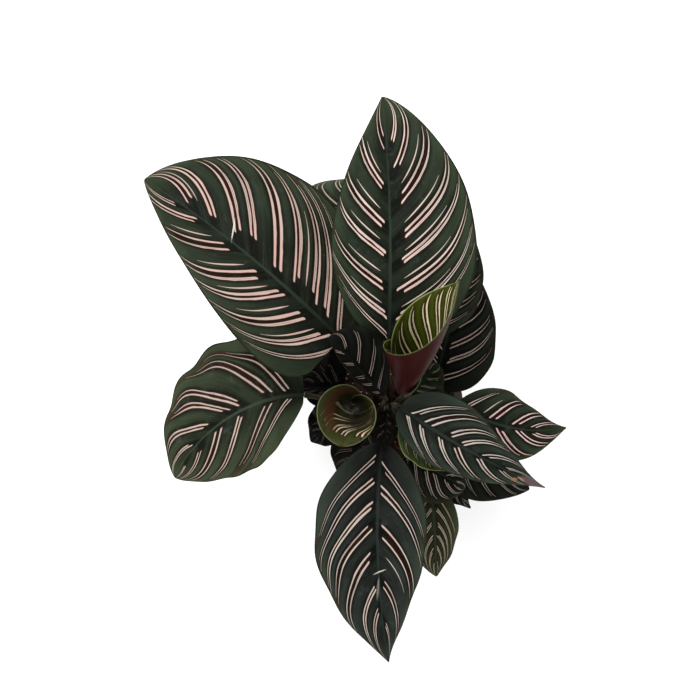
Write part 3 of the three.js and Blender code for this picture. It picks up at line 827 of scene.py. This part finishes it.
# Each leaf has its root on the soil, its joint and tip; each half's width, fullness and taper; how it bends;
# its colours; its pairs of lines on the left and the right half, as shares of the midrib, some with a third
# line; and its marks, each with its place, half-lengths, turn in degrees, colour and strength.
LEAVES = {
    "leaf_01": dict(root=(-0.012, 0.005), joint=(-0.035, 0.021, 0.232), tip=(-0.158, 0.122, 0.235),
        left=(0.0432, 0.22, 0.85), right=(0.0585, 0.6, 0.75), rise=22, fall=-22, bow=-3,
        curl=(-0.140, -0.140), wave=0.002, **BIG_LEAF,
        gap=0.85, fine=1.08, line_end=0.95, line_taper=3.6,
        colours=dict(start=(178, 149, 139), end=(170, 156, 143)),
        pairs=(
            [(-0.03, -0.05), (0.055, 0.033, 0.08), (0.165, 0.13, 0.20), (0.278, 0.252, 0.305),
             (0.388, 0.345, 0.42), (0.545, 0.50, 0.58), (0.70, 0.665), (0.80, 0.765)],
            [(0.015, -0.01), (0.092, 0.07), (0.155, 0.132, 0.19), (0.248, 0.225), (0.343, 0.31),
             (0.45, 0.428), (0.53, 0.50), (0.645, 0.617), (0.76, 0.715, 0.69)],
        ),
        marks=((0.578, 0.0062, 0.0075, 0.0005, 60, (206, 208, 198), 0.7),)),
    "leaf_02": dict(root=(-0.004, 0.006), joint=(-0.007, 0.018, 0.242), tip=(-0.011, 0.158, 0.285),
        left=(0.034, 0.7, 1.05), right=(0.0505, 0.5, 0.76), rise=35, fall=0, bow=-4,
        roll=(-4, -4), curl=(-0.140, -0.140), **BIG_LEAF,
        gap=0.72, fine=0.92, line_end=0.95, line_taper=3.6,
        colours=dict(start=(196, 170, 160), end=(190, 181, 169)),
        pairs=(
            [(0.03, 0.0), (0.115, 0.088, 0.14), (0.232, 0.195, 0.267), (0.363, 0.337, 0.395),
             (0.482, 0.445, 0.515), (0.63, 0.595, 0.655), (0.83, 0.76)],
            [(0.01, -0.02), (0.092, 0.07, 0.115), (0.202, 0.168, 0.227), (0.313, 0.289, 0.335),
             (0.412, 0.38, 0.44), (0.56, 0.515, 0.588), (0.688, 0.65), (0.785, 0.755)],
        )),
    "leaf_03": dict(root=(-0.020, -0.008), joint=(-0.059, -0.007, 0.190), tip=(-0.144, -0.057, 0.162),
        left=(0.036, 0.7, 0.75), right=(0.0445, 0.42, 0.85), rise=12, fall=-35, bow=-30,
        wave=0.0015, waves=5, scallop=0.0018, **BIG_LEAF, gap=0.75, sweep=(0.12, -0.09), light=1.25,
        colours=dict(start=(152, 138, 128), end=(146, 138, 128), band=(40, 46, 33), margin=(43, 50, 33)),
        pairs=(
            [(0.085, 0.05), (0.225, 0.172), (0.40, 0.365), (0.57, 0.51), (0.70, 0.66), (0.84, 0.81)],
            [(0.095, 0.052), (0.205, 0.152), (0.37, 0.335), (0.44, 0.41), (0.585, 0.55), (0.73, 0.70)],
        )),
    "leaf_04": dict(root=(-0.005, -0.022), joint=(-0.010, -0.038, 0.196), tip=(-0.005, -0.175, 0.150),
        left=(0.030, 0.8, 1.35), right=(0.0385, 0.75, 1.15), rise=12, fall=-42, bow=-9, **BIG_LEAF,
        waves=4, scallop=0.0008,
        gap=0.85, fine=0.86, line_end=0.95, line_taper=3.6, sweep=(0.12, 0.09),
        colours=dict(start=(175, 159, 148), end=(173, 168, 157), ground=(8, 9, 8), band=(36, 41, 37),
                    margin=(50, 58, 46), midrib=(36, 43, 38)),
        pairs=(
            [(0.10, 0.07), (0.205, 0.17), (0.388, 0.328, 0.45), (0.60, 0.56), (0.78, 0.75)],
            [(0.057, 0.027), (0.158, 0.13), (0.258, 0.233), (0.35, 0.315), (0.47, 0.433), (0.61, 0.585),
             (0.72, 0.69)],
        ),
        marks=((0.55, -0.0008, 0.0046, 0.0005, 70, (196, 192, 180), 0.7),
                  (0.625, 0.0010, 0.0080, 0.0009, 8, (140, 142, 134), 0.4))),
    "leaf_05": dict(root=(0.004, 0.011), joint=(0.016, 0.027, 0.215), tip=(0.042, 0.096, 0.230),
        left=(0.022, 0.7, 0.9), right=(0.024, 0.7, 0.9), rise=35, fall=-5, light=0.85),
    "leaf_06": dict(root=(0.011, 0.004), joint=(0.024, 0.0, 0.172), tip=(0.046, 0.078, 0.195),
        left=(0.016, 0.8, 0.9), right=(0.031, 0.47, 0.82), rise=35, fall=-10, light=0.6,
        pairs=(
            [(0.08, 0.04), (0.22, 0.18), (0.35, 0.30), (0.51, 0.45), (0.66, 0.61)],
            [(0.09, 0.04), (0.22, 0.19), (0.345, 0.305), (0.51, 0.44), (0.67, 0.62)],
        )),
    "leaf_07": dict(root=(0.017, -0.004), joint=(0.036, -0.016, 0.208), tip=(0.107, -0.028, 0.192),
        left=(0.021, 0.7, 1.25), right=(0.0215, 0.85, 1.2), rise=8, fall=-12, bow=-22, fine=1.3,
        colours=dict(start=(200, 174, 166), end=(194, 182, 174), between=(30, 7, 9)),
        pairs=(
            [(0.07, 0.03), (0.335, 0.27, 0.20), (0.535, 0.475), (0.69, 0.64)],
            [(0.07, 0.03), (0.22, 0.17), (0.40, 0.345), (0.58, 0.53), (0.70, 0.65)],
        )),
    "leaf_08": dict(root=(0.001, -0.009), joint=(0.0, -0.019, 0.222), tip=(0.091, -0.067, 0.205),
        left=(0.0235, 0.65, 1.5), right=(0.018, 0.7, 1.4), rise=16, fall=-25, bow=-9, **BIG_LEAF,
        sweep=(0.08, 0.06),
        colours=dict(start=(172, 164, 154), end=(170, 168, 157), ground=(10, 12, 10), band=(39, 46, 39),
                    margin=(50, 60, 48), midrib=(38, 46, 40)),
        pairs=(
            [(0.10, 0.07), (0.215, 0.16), (0.34, 0.305), (0.43, 0.40), (0.58, 0.54), (0.72, 0.69)],
            [(0.07, 0.05), (0.165, 0.14), (0.295, 0.27), (0.41, 0.37), (0.56, 0.52), (0.70, 0.66)],
        ),
        marks=((0.92, 0.0, 0.0100, 0.0030, 0, (104, 84, 82), 0.6),
                  (0.80, 0.0030, 0.0026, 0.0011, -30, (140, 92, 62), 0.8),
                  (0.84, 0.0010, 0.0030, 0.0008, 10, (150, 130, 112), 0.6))),
    "leaf_09": dict(root=(0.013, -0.013), joint=(0.016, -0.032, 0.178), tip=(0.086, -0.065, 0.166),
        left=(0.020, 0.7, 0.9), right=(0.024, 0.7, 0.9), rise=6, fall=-25,
        gap=0.45, light=0.5, colours=GREY_LINES),
    "leaf_10": dict(root=(0.004, -0.021), joint=(0.008, -0.047, 0.192), tip=(0.043, -0.066, 0.183),
        left=(0.014, 0.6, 0.8), right=(0.020, 0.6, 0.8), rise=10, fall=-40,
        light=0.7, colours=GREY_LINES),
    "leaf_11": dict(root=(0.011, -0.020), joint=(0.024, -0.051, 0.148), tip=(0.050, -0.0755, 0.140),
        left=(0.008, 0.7, 1.2), right=(0.008, 0.7, 1.2), rise=15, fall=-30, light=0.6),
    "leaf_12": dict(root=(0.003, -0.028), joint=(0.023, -0.064, 0.165), tip=(0.027, -0.120, 0.138),
        left=(0.0145, 0.6, 1), right=(0.018, 0.7, 0.9), rise=5, fall=-40,
        gap=0.6, line_taper=4, sweep=(0.34, 0.34), light=1.1,
        colours=dict(start=(164, 156, 136), end=(164, 158, 136), ground=(22, 25, 13), band=(49, 51, 31),
                    between=(30, 16, 8))),
    "leaf_13": dict(root=(-0.018, -0.015), joint=(-0.033, -0.016, 0.165), tip=(-0.056, -0.032, 0.150),
        left=(0.0115, 0.7, 0.9), right=(0.015, 0.7, 0.9), rise=10, fall=-35,
        fine=0.65, light=0.25, colours=DIM_LINES),
    "leaf_14": dict(root=(-0.012, -0.020), joint=(-0.016, -0.026, 0.160), tip=(-0.037, -0.054, 0.140),
        left=(0.0165, 0.7, 0.9), right=(0.0165, 0.7, 0.9), rise=10, fall=-40,
        fine=0.7, light=0.25, colours=DIM_LINES),
    "leaf_15": dict(root=(-0.019, -0.001), joint=(-0.034, 0.002, 0.150), tip=(-0.063, 0.006, 0.142),
        left=(0.013, 0.7, 0.9), right=(0.030, 0.3, 0.52), rise=15, fall=-20,
        fine=0.65, light=0.25, colours=DIM_LINES),
    "leaf_16": dict(root=(-0.008, -0.003), joint=(-0.010, -0.012, 0.226), tip=(-0.043, 0.020, 0.248),
        left=(0.006, 0.7, 0.9), right=(0.022, 1, 0.6), rise=40, fall=5, roll=(-25, -10),
        fine=0.85, light=0.3,
        pairs=(
            [(0.06, 0.03), (0.21, 0.18), (0.35, 0.31), (0.565, 0.53), (0.75, 0.72)],
            [(0.10, 0.06), (0.30, 0.26), (0.52, 0.485), (0.72, 0.685)],
        )),
    "leaf_17": dict(root=(-0.008, 0.013), joint=(-0.016, 0.032, 0.202), tip=(-0.031, 0.133, 0.200),
        left=(0.0395, 0.6, 0.30), right=(0.033, 0.7, 0.9), rise=35, fall=-35,
        colours=dict(start=(150, 148, 132), end=(150, 150, 134), band=(54, 64, 50), margin=(64, 76, 60),
                    hem=(54, 64, 50))),
    "leaf_18": dict(root=(0.009, -0.003), joint=(0.010, -0.006, 0.194), tip=(0.025, 0.010, 0.212),
        left=(0.012, 0.7, 0.9), right=(0.013, 0.7, 0.6), rise=40, fall=0, fine=0.8,
        colours=dict(start=(112, 124, 96), end=(104, 122, 88), ground=(13, 22, 12), band=(20, 34, 19),
                    between=(12, 17, 10), margin=(26, 40, 22), midrib=(22, 36, 20))),
    "leaf_19": dict(root=(-0.005, -0.014), joint=(-0.007, -0.019, 0.203), tip=(-0.008, -0.042, 0.203),
        left=(0.005, 0.7, 0.7), right=(0.010, 0.7, 0.7), rise=25, fall=-25,
        fine=0.6, light=0.25, colours=DIM_LINES),
    "young_leaf": dict(root=(0.007, -0.010), joint=(0.003, -0.025, 0.205), tip=(0.036, -0.055, 0.198),
        left=(0.015, 0.7, 0.9), right=(0.015, 0.7, 0.9), rise=15, fall=-25, young=True),
    # The two rolled leaves are olive inside, partly the young blade's own colour and partly painted light
    # that shines through the thin blade.
    "furled_leaf_1": dict(root=(0.002, -0.001), joint=(0.005, -0.009, 0.212), tip=(0.031, 0.040, 0.318),
        left=(0.038, 0.6, 1), right=(0.048, 0.6, 1.8), rise=70, fall=55, bow=-22, roll=(-80, -80),
        fold=0, curl=(0.0025, 0.032), overlap=0.0024, wave=0, **BIG_LEAF, young=True,
        line_end=0.86, line_taper=14,
        colours=dict(start=(196, 188, 150), end=(204, 192, 158), ground=(34, 38, 6), band=(54, 62, 12),
                    between=(36, 30, 6), margin=(66, 74, 22), midrib=(70, 80, 40)),
        pairs=(FURLED_PAIRS, FURLED_PAIRS[:6])),
    "furled_leaf_2": dict(root=(-0.013, -0.009), joint=(-0.0286, -0.0179, 0.212),
        tip=(-0.0348, -0.0486, 0.2724), left=(0.0228, 0.5, 0.65), right=(0.0285, 0.5, 0.65), rise=65,
        fall=59, fold=0, curl=(0.002, 0.0267), overlap=0.0024, wave=0, **BIG_LEAF, young=True,
        rolled=True, fine=1.25, line_end=0.86, line_taper=14, fade=0.4,
        colours=dict(start=(134, 124, 80), end=(204, 184, 158), ground=(34, 34, 15), band=(50, 53, 23),
                    between=(44, 30, 16), margin=(60, 66, 34), midrib=(40, 40, 18), hem=(92, 98, 70)),
        pairs=([], [(0.80, 0.77), (0.735, 0.685), (0.585, 0.54), (0.49, 0.44), (0.345, 0.26), (0.10, 0.06)]),
        # Of these two marks, the second is painted shade: a near black patch in the roll's dark hollow.
        marks=((0.42, 0.0170, 0.0280, 0.0075, -18, (70, 46, 30), 0.95),
                  (0.35, -0.0090, 0.0250, 0.0120, 0, (20, 17, 10), 0.9))),
}
# For young leaves too, band is partly painted sheen, and dust gives pale patches that are partly dust and
# partly painted sheen.
YOUNG_LEAF = dict(
    ground=(28, 38, 18), between=(28, 30, 15), edge=(44, 27, 21), band=(42, 56, 28), margin=(56, 72, 38),
    midrib=(60, 76, 44), dust=(70, 76, 50), hem=(118, 130, 76), start=(158, 152, 118), end=(150, 150, 112),
)
FURROW_DEPTH = 0.0003

# In the blade that is still rolled up, a vein runs round the roll until it meets a turning line, whose place
# moves with the vein, and rises from there to the rim
ROLL_TURN = 0.0218
ROLL_TURN_STEP = 0.060
ROLL_BEND = 0.00205
ROLL_BEND_STEP = 0.00293
ROLL_LEAST_BEND = 0.00006
ROLL_TIGHTEST = 0.0003
ROLL_RISE = 38
ROLL_START = 0.020
ROLL_FADE_IN = 0.010
ROLL_LINE_END = 0.84


def rolled_veins(along, across, out):
    """Each point's vein in a rolled blade, found by halving, and how far along the vein the point lies."""
    low, high = np.full(len(along), -0.6), np.full(len(along), 1.2)
    for _ in range(24):
        vein = (low + high) / 2
        turn = ROLL_TURN - ROLL_TURN_STEP * vein * np.abs(vein)
        bend = np.maximum(ROLL_BEND - ROLL_BEND_STEP * vein, ROLL_LEAST_BEND)
        bend = bend / np.maximum(turn - out, ROLL_TIGHTEST)
        rise = ROLL_RISE * np.maximum(0.5 - vein, 0) * np.maximum(-out, 0)
        past = vein + bend + rise > along
        high = np.where(past, vein, high)
        low = np.where(past, low, vein)
    round_roll = np.clip((out + ROLL_START) / ROLL_FADE_IN, 0, 1)
    up_roll = np.clip((along - vein) / np.maximum(ROLL_LINE_END - vein, 0.05), 0, 1.2)
    reach = np.minimum((round_roll + up_roll) / 2, 0.96)
    return vein, np.where(np.abs(across) > 0.97, 1.0, reach).astype(np.float32)


def corrugate(mesh, leaf, vein, across):
    """Presses the blade into shallow furrows under its pairs of lines."""
    out = np.abs(across)
    phase = np.zeros(len(vein))
    for pairs, half in zip(leaf["pairs"], (across < 0, across >= 0)):
        centres = sorted((pair[0] + pair[1]) / 2 for pair in pairs)
        phase[half] = np.interp(vein[half], centres, np.arange(len(centres)))
    swell = np.clip(out * 6, 0, 1) * np.clip((1.02 - out) * 3.5, 0, 1)
    height = -np.cos(2 * math.pi * phase) * swell * min(1.0, leaf["rings"] / 120) * FURROW_DEPTH
    places = np.empty(len(vein) * 3, np.float32)
    mesh.vertices.foreach_get("co", places)
    blade = read(mesh, "along") > 0
    places = places.reshape(-1, 3) + read(mesh, "lift", 3) * (height * blade)[:, None]
    mesh.vertices.foreach_set("co", places.astype(np.float32).ravel())


def leaf_colours(leaf):
    """A leaf's tones, dimmed by how much light reaches it; its lines are dimmed half as much."""
    light = leaf["light"]
    of_lines = light * 0.5 + 0.5
    tones = {**(YOUNG_LEAF if leaf["young"] else DARK_LEAF), **leaf["colours"]}
    return {part: [x * (of_lines if part in ("start", "end") else light) for x in tone]
            for part, tone in tones.items()}


tree = leaf_shape(stalk_finish(), under_finish())
for number, (name, entry) in enumerate(LEAVES.items()):
    leaf = {**ORDINARY_LEAF, **entry}
    count = max(4, round(3.5 + blade_span(leaf).length / 0.030))
    leaf.setdefault("pairs", (regular_pairs(count, number), regular_pairs(count, number + 50)))
    piece = placed(name + "_grown", bpy.data.meshes.new(name + "_grown"))
    upper = upper_finish(name, leaf, leaf_colours(leaf))
    formed(piece, tree, {**leaf_sizes(leaf), "Upper Finish": upper})
    mesh = piece.data
    along, across = read(mesh, "along"), read(mesh, "across")
    vein = vein_place(leaf, along, across)
    if leaf["rolled"]:
        vein, across = rolled_veins(along, across, read(mesh, "out"))
        mesh.attributes["across"].data.foreach_set("value", across)
    if not leaf["young"]:
        corrugate(mesh, leaf, vein, across)
    layer = mesh.attributes.new("vein", "FLOAT", "POINT")
    layer.data.foreach_set("value", ((vein - VEIN_FOOT) / VEIN_SPAN).astype(np.float32))
    mesh.shade_smooth()
    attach(piece, "root")
    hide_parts(name)

# Soil: moist peat filled to a little below the pot's rim, firmed by hand and higher round the plant. Loose
# crumbs and a few white grains of perlite lie on its uneven top.
SOIL_FOOT = 0.0018
SOIL_CLEARANCE = 0.0003
SOIL_EDGE = 0.076
SOIL_SHOULDER = 0.079
SOIL_SHOULDER_RADIUS = 0.026
SOIL_LEVEL_RING = 0.004
SOIL_BUMPS = 0.005
SOIL_RINGS = 30
SOIL_SIDES = 120
CRUMBS_PER_AREA = 620000
CRUMB_SIZES = (0.0003, 0.0011)
CRUMB_SEED = 11
GRAINS_PER_AREA = 14000
GRAIN_SIZES = (0.0007, 0.0014)
GRAIN_SEED = 31
PEAT_DARK = (38, 28, 22)
PEAT_LIGHT = (70, 52, 38)
PEAT_DEPTH = 0.0008
PERLITE_WHITE = (196, 192, 182)
PERLITE_GREY = (120, 112, 98)
PORE_DEPTH = 0.0002


def peat_finish():
    """Dark brown crumbs and paler fibres."""
    material, wire, shader = finish("peat", 0.95)
    place = object_place(wire)
    mix = noise(place, 700, 4, 0.7) * 0.7 + noise(place, 2400, 2) * 0.3
    colour = blend(ease(mix, 0.36, 0.66), paint(*PEAT_DARK), paint(*PEAT_LIGHT))
    feed(shader, Base_Color=colour, Normal=relief(mix, PEAT_DEPTH))
    return material


def perlite_finish():
    """Puffed white mineral, greyer in its pores."""
    material, wire, shader = finish("perlite", 0.9)
    pores = noise(object_place(wire), 3000, 2)
    colour = blend(ease(pores, 0.3, 0.6) * 0.5, paint(*PERLITE_GREY), paint(*PERLITE_WHITE))
    feed(shader, Base_Color=colour, Normal=relief(pores, PORE_DEPTH))
    return material


def crumbs(top, label, sizes, per_area, faces_split, seed):
    """Uneven little stones, strewn on the faces that look up."""
    upward = axis(top.node("GeometryNodeInputNormal"), 2) > 0.7
    settings = {"Mesh": top, "Selection": upward, "Density": per_area, "Seed": seed}
    points = top.node("GeometryNodeDistributePointsOnFaces", {}, settings)
    stone = top.node("GeometryNodeMeshIcoSphere", {}, {"Radius": 1.0, "Subdivisions": faces_split})
    marked = {0: stone, "Name": label, "Value": 1.0}
    stone = top.node("GeometryNodeStoreNamedAttribute", {"data_type": "FLOAT", "domain": "FACE"}, marked)
    vectors = {"data_type": "FLOAT_VECTOR"}
    turns = {0: (0, 0, 0), 1: (6.3, 6.3, 6.3), "Seed": seed + 1}
    shapes = {0: (0.6, 0.6, 0.4), 1: (1.2, 1.1, 0.9), "Seed": seed + 2}
    turn = top.node("FunctionNodeRandomValue", vectors, turns)
    squash = top.node("FunctionNodeRandomValue", vectors, shapes)
    size = top.node("FunctionNodeRandomValue", {}, {2: sizes[0], 3: sizes[1], "Seed": seed + 3}, out=1)
    sockets = {"Points": points, "Instance": stone, "Rotation": turn, "Scale": squash * size}
    return top.node("GeometryNodeInstanceOnPoints", {}, sockets)


def soil_shape():
    """A tree that makes the soil's top uneven and strews crumbs and grains on it."""
    inputs = {name: "Float" for name in ("Reach", "Bumps", "Crumbs per Area", "Grains per Area")}
    tree, given = new_shape("soil", inputs)
    body = given["Geometry"]
    place = body.node("GeometryNodeInputPosition")
    flat = place.node("ShaderNodeVectorMath", {"operation": "MULTIPLY"}, {0: place, 1: (1, 1, 0)})
    inside = 1 - ease(flat.work("LENGTH", flat), given["Reach"] - SOIL_LEVEL_RING, given["Reach"])
    on_top = axis(place, 2) > SOIL_EDGE - 0.001
    lift = (noise(place, 160, 4, 0.6) - 0.55) * given["Bumps"] * inside * on_top
    top = body.node("GeometryNodeSetPosition", {}, {0: body, "Offset": xyz(body, z=lift)})
    loose = crumbs(top, "crumb", CRUMB_SIZES, given["Crumbs per Area"], 1, CRUMB_SEED)
    grains = crumbs(top, "grain", GRAIN_SIZES, given["Grains per Area"], 2, GRAIN_SEED)
    joined = tree.nodes.new("GeometryNodeJoinGeometry")
    for layer in (top, loose, grains):
        tree.links.new(layer.socket, joined.inputs[0])
    grain = marked_faces(body, "grain")
    close_shape(Wire(tree, joined.outputs[0]), (peat_finish(), True), (perlite_finish(), grain > 0.5))
    return tree


def make_soil():
    reach = inner_radius(SOIL_EDGE) - SOIL_CLEARANCE
    profile = [(0, SOIL_FOOT), (inner_radius(SOIL_FOOT) - SOIL_CLEARANCE, SOIL_FOOT)]
    for i in range(SOIL_RINGS + 1):
        radius = reach * (1 - i / SOIL_RINGS)
        steps = (0, SOIL_SHOULDER_RADIUS, reach)
        profile.append((radius, float(np.interp(radius, steps, (SOIL_TOP, SOIL_SHOULDER, SOIL_EDGE)))))
    soil = turned("potting_soil", profile, SOIL_SIDES)
    sizes = {
        "Reach": reach,
        "Bumps": SOIL_BUMPS,
        "Crumbs per Area": CRUMBS_PER_AREA,
        "Grains per Area": GRAINS_PER_AREA,
    }
    formed(soil, soil_shape(), sizes)
    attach(soil, "root")
    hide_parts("soil")


make_soil()

# Studio: a plain white floor, one large soft lamp at the side like a window, and a bright, even surround.
FLOOR_WHITE = (250, 250, 250)
FLOOR_HALF_WIDTH = 3
FLOOR_DROP = 0.0002
WINDOW_PLACE = (-0.95, 0.6, 2.0)
WINDOW_WIDTH = 2.4
WINDOW_POWER = 43
SURROUND_STRENGTH = 1.17

white, wire, shader = finish("white floor", 0.9)
shader.inputs["Base Color"].default_value = paint(*FLOOR_WHITE)
floor = placed("floor", bpy.data.meshes.new("floor"))
corners = ((-1, -1), (1, -1), (1, 1), (-1, 1))
square = [(x * FLOOR_HALF_WIDTH, y * FLOOR_HALF_WIDTH, -FLOOR_DROP) for x, y in corners]
floor.data.from_pydata(square, [], [(0, 1, 2, 3)])
floor.data.materials.append(white)

light = bpy.data.lights.new("window side", "AREA")
light.shape = "DISK"
light.size = WINDOW_WIDTH
light.energy = WINDOW_POWER
lamp = placed("window side", light)
lamp.location = WINDOW_PLACE
lamp.rotation_euler = (VIEW_TARGET - Vector(WINDOW_PLACE)).to_track_quat("-Z", "Y").to_euler()

world = bpy.data.worlds.new("surround")
world.use_nodes = True
background = world.node_tree.nodes["Background"]
background.inputs["Color"].default_value = (1, 1, 1, 1)
background.inputs["Strength"].default_value = SURROUND_STRENGTH
bpy.context.scene.world = world
bpy.context.scene.view_settings.view_transform = "Standard"
